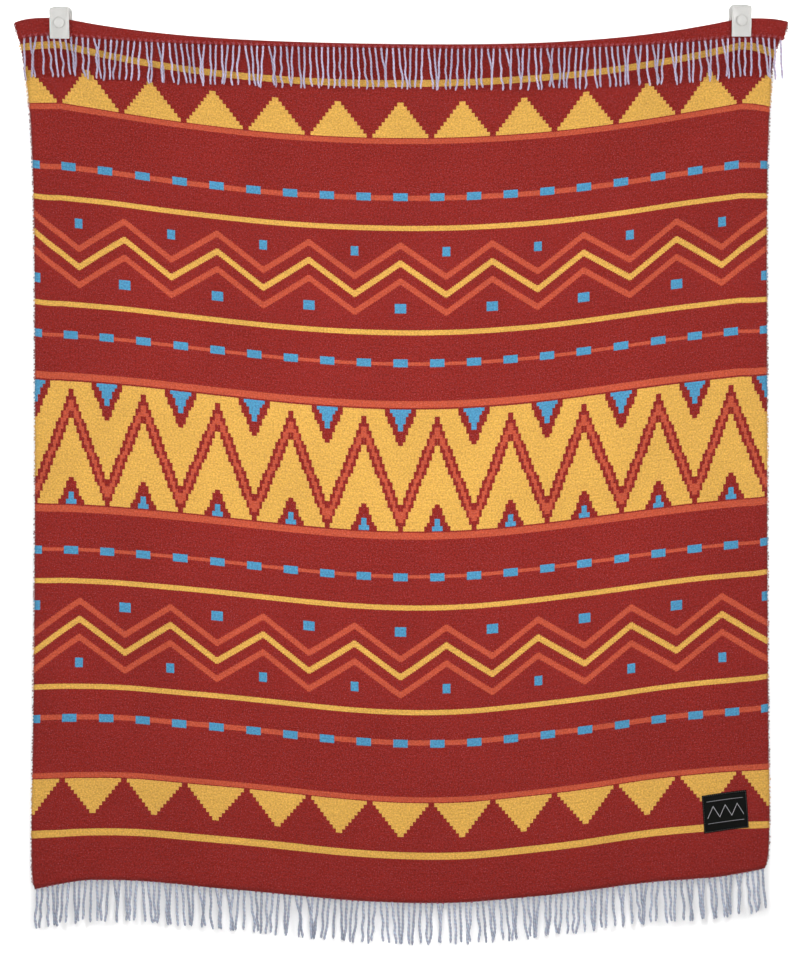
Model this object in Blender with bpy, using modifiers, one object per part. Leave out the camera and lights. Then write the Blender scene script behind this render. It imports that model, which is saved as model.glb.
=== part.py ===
"""A fringed throw blanket that hangs from two white spring clips, near its top corners.

The clips grip the top hem, which is folded over to the front. Between them the blanket sags,
so every crosswise thread hangs in a shallow curve. Sizes are in metres. X runs across the
blanket, Z is up, and the backs of the clips' bases lie on the plane Y = 0. The origin lies on
that plane, half-way between the middles of the two clips.
"""

import math
import random

import bmesh
import bpy
from mathutils import Matrix, Vector

MM = 0.001

# The cloth, and its small fold over the top.
CLOTH_WIDTH = 1.270
CLOTH_LENGTH = 1.4895
CLOTH_THICK = 0.0024
HALF_WIDTH = CLOTH_WIDTH / 2
HALF_THICK = CLOTH_THICK / 2
FOLD_RADIUS = 0.0028
BODY_Y = -0.0093  # the middle of the cloth where the clips hold it
PINCHED_GAP = 0.0005  # left between the two layers at the bottom of the flap
PINCH_DEPTH = 0.028  # how far below the fold the layers come that close
FLAP_TAPER = 0.012  # how much narrower the top hem is than the fold
CORNER_INSET = 0.0045  # the lower corners are rounded in by this much
CORNER_HEIGHT = 0.030
CORNER_POWER = 15  # odd, and the higher it is the nearer to the side edge the rounding stays
PIECE_GAP = 0.0003
COLUMNS = 36
EDGE_CROWDING = 0.25
BODY_ROWS = 24
FOLD_STEPS = 5

# How far the flap reaches down in front, from the top of the fold to the roots of the fringe.
FLAP_AT_LEFT_CLIP = 0.0293
FLAP_AT_RIGHT_CLIP = 0.0312
FLAP_AT_MIDDLE = 0.0066
FLAP_CURVE = 2.6

# The fringe: twisted strands in a narrow strip of the cloth's own edge.
STRIP_HEIGHT = 0.0030
STRANDS = 130
STRAND_RADIUS = 0.0023
ROOT_RADIUS_SHARE = 0.43
STRAND_LENGTH = 0.071
LENGTH_SPREAD = 0.0025
ROOT_DEPTH = 0.0014
ROOT_RUN = 0.0075  # below its root a strand has its full thickness
TIP_SWAY = 0.0021
PAIR_CHANCE = 0.3
SINGLE_SWAY_SHARE = 0.5
STRAND_CLEARANCE = 0.0008
TOP_MARGINS = (0.0085, 0.0045)  # from the left and right edges to the first and last strand
BOTTOM_MARGINS = (0.0050, 0.0042)
WELD_DISTANCE = 1e-6

# The black woven label, sewn on near the lower right corner.
LABEL_WIDTH = 0.078
LABEL_HEIGHT = 0.0635
LABEL_THICK = 0.0008
LABEL_ACROSS = 0.5577
LABEL_FROM_HEM = 0.1036
LABEL_TURN = math.radians(4)  # its right side is the higher one
LABEL_CELLS = 6

# The clips: a flat base, a front leaf on a spring barrel, and a round button.
CLIP_X = 0.5875
CLIP_Z = 0.0018  # the right clip is this much above the origin, and the left one below it
BASE_SIZE = Vector((0.038, 0.0078, 0.058))
BASE_CORNER_RADIUS = 0.009
LEAF_SIZE = Vector((0.0335, 0.0026, 0.0525))
LEAF_CORNER_RADIUS = 0.0025
LEAF_Z = -0.0028  # from the middle of the base to the middle of the leaf
CORNER_STEPS = 4
EDGE_BEVEL = 0.0006
LEAF_BOTTOM_Y = -0.0163  # the back of the leaf at its lower end, in front of the fringe's roots
LEAF_TOP_Y = -0.0212
BARREL_RADIUS = 0.0060
BARREL_LENGTH = 0.026
BARREL_Z = 0.017
BARREL_SIDES = 18
BUTTON_RADIUS = 0.0092
BUTTON_HEIGHT = 0.0034
BUTTON_Z = 0.0007
BUTTON_BEVEL = 0.0012
BUTTON_SIDES = 22

# How one crosswise thread hangs, from the top of the fold to the lower hem. Each row gives how
# far along the cloth the thread lies, its height at the side edges, below the clips and in the
# middle, and how far each side edge lies from X = 0. Bow is 1 for a thread that hangs as a free
# curve and 0 for a soft wave. Skew is how far it is raised in its left half and lowered in its
# right half. From turn_x outwards it bends to its edge height, the more suddenly the higher its
# turn. The first row is the top of the fold, which lies where the flap's depth puts it.
COLUMNS_OF_HANG = (
    "along", "left_edge", "left_clip", "middle", "right_clip", "right_edge",
    "bow", "skew", "left_x", "right_x", "turn_x", "turn",
)
PLAIN_COLUMNS = ("bow", "turn")
HANG_MM = (
    (0, -2.4, 5.5, -39.8, 4.7, -1.2, 1.38, 2.0, 666, 668, 591, 4),
    (75.5, -41, -36, -103.5, -38, -53, 1.10, 0.0, 656, 647, 591, 2),
    (160, -129, -129, -191, -130, -136, 0.90, 1.0, 643, 639, 591, 2),
    (247.4, -218, -222, -278, -220, -221, 0.80, 1.5, 637, 635, 591, 2),
    (660, -637, -640, -690, -633, -630, 0.45, 2.5, 632, 634, 591, 2),
    (1241.3, -1231, -1227, -1271, -1216, -1211, 0.10, 5.5, 635, 636, 560, 2),
    (1414.3, -1409, -1403, -1443, -1391, -1391, 0.0, 6.5, 638, 638, 545, 1.6),
    (1489.5, -1500, -1482, -1521, -1475, -1463, 0.0, 4.5, 637, 635, 535, 1.6),
)

# Soft ridges that stand forward of the cloth, and troughs, which have a negative height. Each
# runs from one place near the top to one near the hem, and fades in and out over its length.
COLUMNS_OF_FOLDS = ("top_x", "low_x", "top_z", "low_z", "height", "half_width")
SOFT_FOLDS_MM = {
    "ridge_from_left_clip": (-545, -330, -30, -1540, 13.0, 78),
    "ridge_from_right_clip": (535, 300, -30, -1540, 12.0, 82),
    "middle_belly": (10, 20, -60, -1560, 6.0, 170),
    "trough_left_of_middle": (-250, -160, -60, -1420, -4.0, 70),
    "trough_right_of_middle": (300, 150, -80, -1400, -4.5, 66),
    "lower_left_ripple": (-560, -570, -980, -1640, 6.0, 60),
    "lower_right_ripple": (520, 500, -1060, -1640, 6.5, 70),
    "lower_middle_ripple": (130, 110, -1120, -1640, 4.0, 60),
}
FADE_IN = 0.22  # shares of a soft fold's length
FADE_OUT = 0.7
FADE_SHARE = 0.5
ROLL_START_X = 0.575  # outside this the side edges turn back
ROLL_BACK = 0.0050
ROLL_LIMIT = 1.3
ROLL_TOP_Z = -0.050
ROLL_LOW_Z = -0.300


def smooth(value, low, high):
    """0 below low, 1 above high, and a smooth step between."""
    share = min(1.0, max(0.0, (value - low) / (high - low)))
    return share * share * (3 - 2 * share)


def hang_rows():
    """HANG_MM as dictionaries in metres."""
    rows = []
    for numbers in HANG_MM:
        row = dict(zip(COLUMNS_OF_HANG, numbers))
        rows.append({key: value * (1 if key in PLAIN_COLUMNS else MM) for key, value in row.items()})
    return rows


FOLD, *HANG = hang_rows()
SOFT_FOLDS = [dict(zip(COLUMNS_OF_FOLDS, [n * MM for n in row])) for row in SOFT_FOLDS_MM.values()]


def height_at(row, x):
    """The height at x of the crosswise thread that a row describes."""
    side = "left" if x < 0 else "right"
    clip, edge = row[side + "_clip"], row[side + "_edge"]
    share = max(-1.0, min(1.0, x / CLIP_X))
    free_curve = 1 - share * share
    soft_wave = (1 + math.cos(math.pi * share)) / 2
    curve = row["bow"] * free_curve + (1 - row["bow"]) * soft_wave
    between = clip + (row["middle"] - clip) * curve - row["skew"] * math.sin(math.pi * share)
    outside = max(0.0, (abs(x) - row["turn_x"]) / (row[side + "_x"] - row["turn_x"]))
    return between + (edge - clip) * outside ** row["turn"]


def x_at(row, share):
    """The place across of the thread's point that is share, from -1 to 1, of the half width."""
    return share * (row["left_x"] if share < 0 else row["right_x"])


def flap_depth(share):
    """How far the flap hangs down in front at this share of the half width."""
    from_middle = min(1.0, abs(x_at(FOLD, share)) / CLIP_X)
    at_clip = FLAP_AT_LEFT_CLIP if share < 0 else FLAP_AT_RIGHT_CLIP
    return FLAP_AT_MIDDLE + (at_clip - FLAP_AT_MIDDLE) * from_middle**FLAP_CURVE


def ridge_height(x, z):
    """How far the soft folds bring the cloth forward at this place."""
    total = 0.0
    for fold in SOFT_FOLDS:
        down = (fold["top_z"] - z) / (fold["top_z"] - fold["low_z"])
        if not 0 < down < 1:
            continue
        middle = fold["top_x"] + (fold["low_x"] - fold["top_x"]) * down
        across = (x - middle) / fold["half_width"]
        strength = smooth(down, 0.0, FADE_IN) * (1 - FADE_SHARE * smooth(down, FADE_OUT, 1.0))
        total += fold["height"] * strength * math.exp(-across * across)
    return total


def body_y(x, z):
    """The middle layer of the hanging cloth at this place."""
    past = max(0.0, (abs(x) - ROLL_START_X) / (HALF_WIDTH - ROLL_START_X))
    roll = ROLL_BACK * min(ROLL_LIMIT, past * past) * smooth(-z, -ROLL_TOP_Z, -ROLL_LOW_Z)
    return BODY_Y - ridge_height(x, z) + roll


def between_rows(along, share):
    """x and z of the hanging cloth, from the two rows of HANG that along lies between."""
    fold_end = flap_depth(share) - FOLD_RADIUS + math.pi * FOLD_RADIUS
    top_x = x_at(FOLD, share)
    places = [(fold_end, top_x, height_at(FOLD, top_x) - FOLD_RADIUS)]
    for row in HANG:
        x = x_at(row, share)
        places.append((row["along"], x, height_at(row, x)))
    index = 1
    while index < len(places) - 1 and along > places[index][0]:
        index += 1
    before, after = places[index - 1], places[index]
    part = (along - before[0]) / (after[0] - before[0])
    return [before[k] + (after[k] - before[k]) * part for k in (1, 2)]


def cloth_point(share, along):
    """The middle layer of the cloth, along metres from its top hem."""
    flap = flap_depth(share) - FOLD_RADIUS
    fold_end = flap + math.pi * FOLD_RADIUS
    if along >= fold_end:
        x, z = between_rows(along, share)
        to_hem = max(0.0, 1 - (CLOTH_LENGTH - along) / CORNER_HEIGHT)
        inset = CORNER_INSET * to_hem**2 * share**CORNER_POWER
        return Vector((x - inset, body_y(x, z), z))
    x = x_at(FOLD, share)
    level = height_at(FOLD, x) - FOLD_RADIUS
    back = body_y(x, level)
    if along >= flap:
        angle = (along - flap) / FOLD_RADIUS
        y = back - FOLD_RADIUS * (1 + math.cos(angle))
        return Vector((x, y, level + FOLD_RADIUS * math.sin(angle)))
    down = flap - along
    apart = 2 * FOLD_RADIUS
    pinched = CLOTH_THICK + PINCHED_GAP
    apart -= (apart - pinched) * min(1.0, down / PINCH_DEPTH)
    x *= 1 - FLAP_TAPER * down / FLAP_AT_RIGHT_CLIP
    return Vector((x, body_y(x, level - down) - apart, level - down))


def sheet(name, grid, thick, material, collection):
    """A closed sheet of even thickness round a grid of points of its middle layer."""
    mesh = bpy.data.meshes.new(name)
    shape = bmesh.new()
    rows = [[shape.verts.new(point) for point in row] for row in grid]
    for low, high in zip(rows, rows[1:]):
        for a, b, c, d in zip(low, low[1:], high[1:], high):
            shape.faces.new((a, b, c, d))
    shape.to_mesh(mesh)
    shape.free()
    mesh.shade_smooth()
    obj = bpy.data.objects.new(name, mesh)
    collection.objects.link(obj)
    obj.data.materials.append(material)
    solid = obj.modifiers.new("thickness", "SOLIDIFY")
    solid.thickness = thick
    solid.offset = 0
    solid.use_even_offset = True
    return obj


def shares(count):
    """count + 1 places from the left edge, -1, to the right edge, 1."""
    return [2 * i / count - 1 for i in range(count + 1)]


def column_shares():
    """The places of the cloth's columns, which are closer together towards the side edges."""
    return [(1 + EDGE_CROWDING) * share - EDGE_CROWDING * share**3 for share in shares(COLUMNS)]


def blanket(material, collection):
    """The cloth itself, without the strips of its two hems that carry the fringes."""
    start = STRIP_HEIGHT + PIECE_GAP
    end = CLOTH_LENGTH - STRIP_HEIGHT - PIECE_GAP
    columns = []
    for share in column_shares():
        flap = flap_depth(share) - FOLD_RADIUS
        fold_end = flap + math.pi * FOLD_RADIUS
        places = [start]
        places += [flap + (fold_end - flap) * i / FOLD_STEPS for i in range(FOLD_STEPS + 1)]
        places += [fold_end + (end - fold_end) * i / BODY_ROWS for i in range(1, BODY_ROWS + 1)]
        columns.append([cloth_point(share, along) for along in places])
    return sheet("cloth", columns, CLOTH_THICK, material, collection)


def strand_points(root, sway, length, depth_at):
    """Root, neck and tip of one strand. depth_at gives its Y from the drop below the root, x and z."""
    points = []
    for drop, lean in ((-ROOT_DEPTH, 0.0), (ROOT_RUN, 0.0), (length, 1.0)):
        x = root.x + sway * lean
        z = root.z - drop
        points.append(Vector((x, depth_at(drop, x, z), z)))
    return points


def sway_list(seed):
    """Side sways that keep neighbours apart: pairs lean together and single strands hang straight."""
    chance = random.Random(seed)
    sways = []
    while len(sways) < STRANDS:
        if chance.random() < PAIR_CHANCE:
            sways += [TIP_SWAY, -TIP_SWAY]
        else:
            sways.append(chance.uniform(-1, 1) * SINGLE_SWAY_SHARE * TIP_SWAY)
    return sways[:STRANDS]


def strand_curves(name, lines):
    """One curve object with a four-sided tube along each line of points."""
    curve = bpy.data.curves.new(name, "CURVE")
    curve.dimensions = "3D"
    curve.bevel_depth = STRAND_RADIUS
    curve.bevel_resolution = 0
    curve.use_fill_caps = True
    for line in lines:
        spline = curve.splines.new("POLY")
        spline.points.add(len(line) - 1)
        for index, point in enumerate(line):
            spline.points[index].co = (*point, 1)
            spline.points[index].radius = ROOT_RADIUS_SHARE if index == 0 else 1
    obj = bpy.data.objects.new(name, curve)
    bpy.context.scene.collection.objects.link(obj)
    return obj


def mesh_of_curve(obj, collection):
    """The curve object as a mesh with its caps welded on. The curve is removed."""
    bpy.context.view_layer.update()
    evaluated = obj.evaluated_get(bpy.context.evaluated_depsgraph_get())
    mesh = bpy.data.meshes.new_from_object(evaluated)
    shape = bmesh.new()
    shape.from_mesh(mesh)
    bmesh.ops.remove_doubles(shape, verts=shape.verts, dist=WELD_DISTANCE)
    bmesh.ops.recalc_face_normals(shape, faces=shape.faces)
    shape.to_mesh(mesh)
    shape.free()
    made = bpy.data.objects.new(obj.name + "_mesh", mesh)
    made.matrix_world = obj.matrix_world
    collection.objects.link(made)
    bpy.data.objects.remove(obj)
    return made


def fringe(name, hem, lines, material, collection, helpers):
    """A strip of the hem with its strands, as one solid."""
    columns = []
    for share in column_shares():
        columns.append([cloth_point(share, hem + STRIP_HEIGHT * part) for part in (0.0, 0.5, 1.0)])
    strip = sheet(name, columns, CLOTH_THICK, material, collection)
    strands = mesh_of_curve(strand_curves(name + "_strands", lines), helpers)
    strands.hide_render = True
    strands.display_type = "WIRE"
    join = strip.modifiers.new("strands", "BOOLEAN")
    join.operation = "UNION"
    join.object = strands
    return strip


def strand_shares(margins):
    """The places across of the strands, evenly between margins at the left and right edges."""
    first = margins[0] / HALF_WIDTH - 1
    last = 1 - margins[1] / HALF_WIDTH
    return [first + (last - first) * i / (STRANDS - 1) for i in range(STRANDS)]


def top_fringe(material, collection, helpers):
    """The fringe that hangs in front of the cloth from the folded hem."""
    chance = random.Random(7)
    lines = []
    for share, sway in zip(strand_shares(TOP_MARGINS), sway_list(3)):
        root = cloth_point(share, 0)
        length = STRAND_LENGTH + chance.uniform(-1, 1) * LENGTH_SPREAD

        def in_front(drop, x, z, share=share):
            if drop < 0:
                return cloth_point(share, -drop).y
            return body_y(x, z) - HALF_THICK - STRAND_CLEARANCE - STRAND_RADIUS

        lines.append(strand_points(root, sway, length, in_front))
    return fringe("fringe_top", 0.0, lines, material, collection, helpers)


def bottom_fringe(material, collection, helpers):
    """The fringe that hangs free below the lower hem."""
    chance = random.Random(11)
    lines = []
    for share, sway in zip(strand_shares(BOTTOM_MARGINS), sway_list(5)):
        root = cloth_point(share, CLOTH_LENGTH)
        length = STRAND_LENGTH + chance.uniform(-1, 1) * LENGTH_SPREAD

        def straight_down(drop, x, z, root=root):
            return root.y

        lines.append(strand_points(root, sway, length, straight_down))
    return fringe("fringe_bottom", CLOTH_LENGTH - STRIP_HEIGHT, lines, material, collection, helpers)


def label(material, collection):
    """The label, which lies on the cloth's own curve."""
    forward = Vector((0, -(HALF_THICK + PIECE_GAP + LABEL_THICK / 2), 0))
    columns = []
    for i in range(LABEL_CELLS + 1):
        column = []
        for j in range(LABEL_CELLS + 1):
            place = Vector((LABEL_WIDTH * (i / LABEL_CELLS - 0.5), LABEL_HEIGHT * (j / LABEL_CELLS - 0.5)))
            place.rotate(Matrix.Rotation(-LABEL_TURN, 2))
            along = CLOTH_LENGTH - LABEL_FROM_HEM + place.y
            column.append(cloth_point((LABEL_ACROSS + place.x) / HALF_WIDTH, along) + forward)
        columns.append(column)
    return sheet("label", columns, LABEL_THICK, material, collection)


def rounded_plate(name, size, corner_radius, material, collection):
    """An upright plate with round corners, its middle at its origin and its thickness along Y."""
    curve = bpy.data.curves.new(name, "CURVE")
    curve.dimensions = "2D"
    curve.fill_mode = "BOTH"
    curve.extrude = size.y / 2
    spline = curve.splines.new("POLY")
    spline.use_cyclic_u = True
    outline = []
    for corner in range(4):
        right = 1 if corner in (0, 3) else -1
        top = 1 if corner in (0, 1) else -1
        centre_x = right * (size.x / 2 - corner_radius)
        centre_z = top * (size.z / 2 - corner_radius)
        for step in range(CORNER_STEPS + 1):
            angle = math.radians(90) * (corner + step / CORNER_STEPS)
            outline.append((centre_x + corner_radius * math.cos(angle),
                            centre_z + corner_radius * math.sin(angle)))
    spline.points.add(len(outline) - 1)
    for point, (x, z) in zip(spline.points, outline):
        point.co = (x, z, 0, 1)
    flat = bpy.data.objects.new(name + "_outline", curve)
    flat.rotation_euler.x = math.radians(90)
    bpy.context.scene.collection.objects.link(flat)
    plate = mesh_of_curve(flat, collection)
    plate.data.transform(plate.matrix_world)
    plate.matrix_world.identity()
    plate.name = name
    plate.data.materials.append(material)
    bevel = plate.modifiers.new("soft_edges", "BEVEL")
    bevel.width = EDGE_BEVEL
    bevel.segments = 1
    bevel.limit_method = "ANGLE"
    return plate


def round_piece(name, radius, depth, sides, bevel_width, material, collection):
    """A cylinder along Z with its middle at its origin."""
    mesh = bpy.data.meshes.new(name)
    shape = bmesh.new()
    bmesh.ops.create_cone(
        shape, cap_ends=True, segments=sides, radius1=radius, radius2=radius, depth=depth)
    shape.to_mesh(mesh)
    shape.free()
    mesh.shade_smooth()
    mesh.set_sharp_from_angle(angle=math.radians(40))
    obj = bpy.data.objects.new(name, mesh)
    collection.objects.link(obj)
    mesh.materials.append(material)
    bevel = obj.modifiers.new("soft_edges", "BEVEL")
    bevel.width = bevel_width
    bevel.segments = 2
    bevel.limit_method = "ANGLE"
    return obj


def clip(side, x, z, material, collection):
    """One clip: its flat base, the spring barrel, the tilted front leaf and its button."""
    holder = bpy.data.objects.new(f"clip_{side}", None)
    holder.location = (x, 0, z)
    collection.objects.link(holder)

    base = rounded_plate(
        f"clip_{side}_base", BASE_SIZE, BASE_CORNER_RADIUS, material, collection)
    base.location.y = -BASE_SIZE.y / 2
    base.parent = holder

    barrel = round_piece(
        f"clip_{side}_barrel", BARREL_RADIUS, BARREL_LENGTH, BARREL_SIDES, EDGE_BEVEL, material,
        collection)
    barrel.location = (0, -BASE_SIZE.y - PIECE_GAP - BARREL_RADIUS, BARREL_Z)
    barrel.rotation_euler.y = math.radians(90)
    barrel.parent = holder

    tilt = math.atan2(LEAF_BOTTOM_Y - LEAF_TOP_Y, LEAF_SIZE.z)
    leaf_frame = bpy.data.objects.new(f"clip_{side}_leaf_frame", None)
    leaf_frame.location = (0, (LEAF_BOTTOM_Y + LEAF_TOP_Y) / 2, LEAF_Z)
    leaf_frame.rotation_euler.x = tilt
    leaf_frame.parent = holder
    collection.objects.link(leaf_frame)

    leaf = rounded_plate(
        f"clip_{side}_leaf", LEAF_SIZE, LEAF_CORNER_RADIUS, material, collection)
    leaf.location.y = -LEAF_SIZE.y / 2
    leaf.parent = leaf_frame

    button = round_piece(
        f"clip_{side}_button", BUTTON_RADIUS, BUTTON_HEIGHT, BUTTON_SIDES, BUTTON_BEVEL, material,
        collection)
    button.rotation_euler.x = math.radians(90)
    button.location = (0, -LEAF_SIZE.y - PIECE_GAP - BUTTON_HEIGHT / 2, BUTTON_Z)
    button.parent = leaf_frame


def finish(name, colour, roughness):
    """A plain material with the piece's colour and roughness."""
    material = bpy.data.materials.new(name)
    material.use_nodes = True
    shader = material.node_tree.nodes["Principled BSDF"]
    shader.inputs["Base Color"].default_value = (*colour, 1)
    shader.inputs["Roughness"].default_value = roughness
    shader.inputs["Metallic"].default_value = 0
    return material


def main():
    for obj in list(bpy.data.objects):
        bpy.data.objects.remove(obj)
    collection = bpy.data.collections.new("throw_blanket")
    helpers = bpy.data.collections.new("helpers")
    bpy.context.scene.collection.children.link(collection)
    bpy.context.scene.collection.children.link(helpers)

    red_cloth = finish("red_cloth", (0.28, 0.028, 0.024), 0.9)
    lavender_yarn = finish("lavender_yarn", (0.47, 0.43, 0.56), 0.85)
    black_tape = finish("black_tape", (0.012, 0.012, 0.012), 0.7)
    white_plastic = finish("white_plastic", (0.80, 0.80, 0.78), 0.35)

    blanket(red_cloth, collection)
    top_fringe(lavender_yarn, collection, helpers)
    bottom_fringe(lavender_yarn, collection, helpers)
    label(black_tape, collection)
    clip("left", -CLIP_X, -CLIP_Z, white_plastic, collection)
    clip("right", CLIP_X, CLIP_Z, white_plastic, collection)


main()
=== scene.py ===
import math
import random

import bmesh
import bpy
import numpy as np
from mathutils import Matrix, Vector, noise


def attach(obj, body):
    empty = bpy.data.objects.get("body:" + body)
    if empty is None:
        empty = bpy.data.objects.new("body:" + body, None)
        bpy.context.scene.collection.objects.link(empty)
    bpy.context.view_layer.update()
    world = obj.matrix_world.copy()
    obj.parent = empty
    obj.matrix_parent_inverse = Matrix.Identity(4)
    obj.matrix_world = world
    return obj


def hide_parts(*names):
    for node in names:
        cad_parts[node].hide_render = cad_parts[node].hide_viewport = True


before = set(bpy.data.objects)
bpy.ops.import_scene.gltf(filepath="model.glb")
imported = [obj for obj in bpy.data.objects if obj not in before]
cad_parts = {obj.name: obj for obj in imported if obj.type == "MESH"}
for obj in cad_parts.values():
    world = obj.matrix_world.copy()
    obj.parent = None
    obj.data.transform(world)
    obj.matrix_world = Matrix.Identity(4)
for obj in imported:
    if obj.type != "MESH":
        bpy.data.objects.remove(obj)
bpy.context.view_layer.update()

mm = 0.001

# The throw as it hangs. The clips' bases lie on the plane Y = 0 and the front faces -Y.
cloth = {
    "width": 1.270,
    "length": 1.4895,
    "thick": 0.0022,
    "foldRadius": 0.0028,
    "bodyY": -0.0093,       # middle of the cloth at the clips
    "pinchedGap": 0.0007,   # between the two layers at the bottom of the flap
    "pinchDepth": 0.028,
    "flapAtClips": (0.0293, 0.0312),
    "flapAtMiddle": 0.0060,
    "flapCurve": 2.6,
    "clipX": 0.5875,
    "columns": 230,
    "crowding": 0.06,
    "bodyRows": 190,
    "foldRows": 10,
    "flapRows": 7,
    "flapTaper": 0.012,     # how much narrower the top hem is than the fold
    "wrinkle": 0.0009,
    "cornerInset": 0.0045,  # the lower corners are rounded in by this much
    "cornerHeight": 0.030,
}

# One row for each crosswise thread: how far along the cloth it lies, then its heights, in mm. From
# turnX outwards it bends to its edge height, the more suddenly the higher its turn.
hangColumns = ("along", "leftEdge", "leftClip", "middle", "rightClip", "rightEdge",
               "bow", "skew", "leftX", "rightX", "turnX", "turn")
hangRows = (
    (0, -2.4, 5.5, -39.8, 4.7, -1.2, 1.38, 2.0, 665, 668, 591, 4),      # the top of the fold
    (75.5, -41, -36, -103.5, -38, -53, 1.10, 0.0, 656, 647, 591, 2),
    (160, -129, -129, -191, -130, -136, 0.90, 1.0, 643, 639, 591, 2),
    (247.4, -218, -222, -278, -220, -221, 0.80, 1.5, 637, 635, 591, 2),
    (660, -637, -640, -690, -633, -630, 0.45, 2.5, 632, 634, 591, 2),
    (1241.3, -1231, -1227, -1271, -1216, -1211, 0.10, 5.5, 635, 636, 560, 2),
    (1414.3, -1409, -1403, -1443, -1391, -1391, 0.0, 6.5, 638, 638, 545, 1.6),
    (1489.5, -1500, -1482, -1521, -1475, -1463, 0.0, 4.5, 637, 635, 535, 1.6),
)

# Soft ridges, and troughs with a negative height, from near the top to near the hem, in mm.
foldColumns = ("topX", "lowX", "topZ", "lowZ", "height", "halfWidth")
softFolds = (
    (-545, -330, -30, -1540, 13.0, 78),
    (535, 300, -30, -1540, 12.0, 82),
    (10, 20, -60, -1560, 6.0, 170),
    (-250, -160, -60, -1420, -4.0, 70),
    (300, 150, -80, -1400, -4.5, 66),
    (-560, -570, -980, -1640, 6.0, 60),
    (520, 500, -1060, -1640, 6.5, 70),
    (130, 110, -1120, -1640, 4.0, 60),
)
sideRoll = {"startX": 0.575, "back": 0.0050, "topZ": -0.050, "lowZ": -0.300}


def asRows(columns, rows, plain=()):
    made = [dict(zip(columns, row)) for row in rows]
    return [{k: v if k in plain else v * mm for k, v in row.items()} for row in made]


hang = asRows(hangColumns, hangRows, plain=("bow", "turn"))
folds = asRows(foldColumns, softFolds)


def smooth(value, low, high):
    share = np.clip((value - low) / (high - low), 0.0, 1.0)
    return share * share * (3 - 2 * share)


def bySide(row, key, x):
    return np.where(x < 0, row["left" + key], row["right" + key])


def heightAt(row, x):
    clip, edge = bySide(row, "Clip", x), bySide(row, "Edge", x)
    share = np.abs(x) / cloth["clipX"]
    inside = np.minimum(share, 1.0)
    curve = row["bow"] * (1 - inside**2) + (1 - row["bow"]) * (1 + np.cos(math.pi * inside)) / 2
    between = clip + (row["middle"] - clip) * curve
    between = between - row["skew"] * np.sin(math.pi * np.clip(x / cloth["clipX"], -1, 1))
    past = np.maximum(0.0, (np.abs(x) - row["turnX"]) / (bySide(row, "X", x) - row["turnX"]))
    return between + (edge - clip) * past ** row["turn"]


def xAt(row, share):
    return share * np.where(share < 0, row["leftX"], row["rightX"])


def flapDepth(share):
    fromMiddle = np.minimum(1.0, np.abs(xAt(hang[0], share)) / cloth["clipX"])
    deep, shallow = np.where(share < 0, *cloth["flapAtClips"]), cloth["flapAtMiddle"]
    return shallow + (deep - shallow) * fromMiddle ** cloth["flapCurve"]


def bodyY(x, z):
    total = np.zeros(np.shape(x))
    for fold in folds:
        down = (fold["topZ"] - z) / (fold["topZ"] - fold["lowZ"])
        middle = fold["topX"] + (fold["lowX"] - fold["topX"]) * down
        across = (x - middle) / fold["halfWidth"]
        strength = smooth(down, 0.0, 0.22) * (1 - 0.5 * smooth(down, 0.7, 1.0)) * (down < 1)
        total = total + fold["height"] * strength * np.exp(-across * across)
    past = np.maximum(0.0, (np.abs(x) - sideRoll["startX"]) / (cloth["width"] / 2 - sideRoll["startX"]))
    roll = sideRoll["back"] * np.minimum(1.3, past**2) * smooth(-z, -sideRoll["topZ"], -sideRoll["lowZ"])
    return cloth["bodyY"] - total + roll


def foldEnd(share):
    return flapDepth(share) + (math.pi - 1) * cloth["foldRadius"]


def onBody(share, along):
    # A smooth curve down the cloth through the rows of hang, for each share.
    topX = xAt(hang[0], share)
    places = [(foldEnd(share), topX, heightAt(hang[0], topX) - cloth["foldRadius"])]
    for row in hang[1:]:
        x = xAt(row, share)
        places.append((np.full(np.shape(share), row["along"]), x, heightAt(row, x)))
    a = np.array([p[0] for p in places])
    made = []
    for k in (1, 2):
        value = np.array([p[k] for p in places])
        step = np.diff(value, axis=0) / np.diff(a, axis=0)
        slope = np.concatenate([step[:1], (step[1:] + step[:-1]) / 2, step[-1:]])
        result = value[0] + slope[0] * (along - a[0])
        for i in range(len(places) - 1):
            span = a[i + 1] - a[i]
            t = np.clip((along - a[i]) / span, 0, 1)
            curve = ((1 + 2 * t) * (1 - t) ** 2 * value[i] + t * (1 - t) ** 2 * span * slope[i]
                     + t * t * (3 - 2 * t) * value[i + 1] - t * t * (1 - t) * span * slope[i + 1])
            result = np.where(along >= a[i], curve, result)
        made.append(result)
    return made


def clothPoints(share, along):
    # The middle layer of the cloth, along metres from its top hem.
    share, along = np.broadcast_arrays(np.asarray(share, float), np.asarray(along, float))
    radius = cloth["foldRadius"]
    flap = flapDepth(share) - radius
    x, z = onBody(share, np.maximum(along, foldEnd(share)))
    body = np.stack([x, bodyY(x, z), z], -1)
    topX = xAt(hang[0], share)
    level = heightAt(hang[0], topX) - radius
    back = bodyY(topX, level)
    angle = np.clip((along - flap) / radius, 0, math.pi)
    turn = np.stack([topX, back - radius * (1 + np.cos(angle)), level + radius * np.sin(angle)], -1)
    down = np.maximum(0.0, flap - along)
    pinched = cloth["thick"] + cloth["pinchedGap"]
    apart = 2 * radius - (2 * radius - pinched) * np.minimum(1.0, down / cloth["pinchDepth"])
    low = level - down
    flapX = topX * (1 - cloth["flapTaper"] * down / max(cloth["flapAtClips"]))
    front = np.stack([flapX, bodyY(flapX, low) - apart, low], -1)
    made = np.where((along < flap)[..., None], front, turn)
    made = np.where((along >= foldEnd(share))[..., None], body, made)
    toHem = np.clip(1 - (cloth["length"] - along) / cloth["cornerHeight"], 0, 1)
    made[..., 0] -= cloth["cornerInset"] * toHem**2 * share ** 15
    return made


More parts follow.
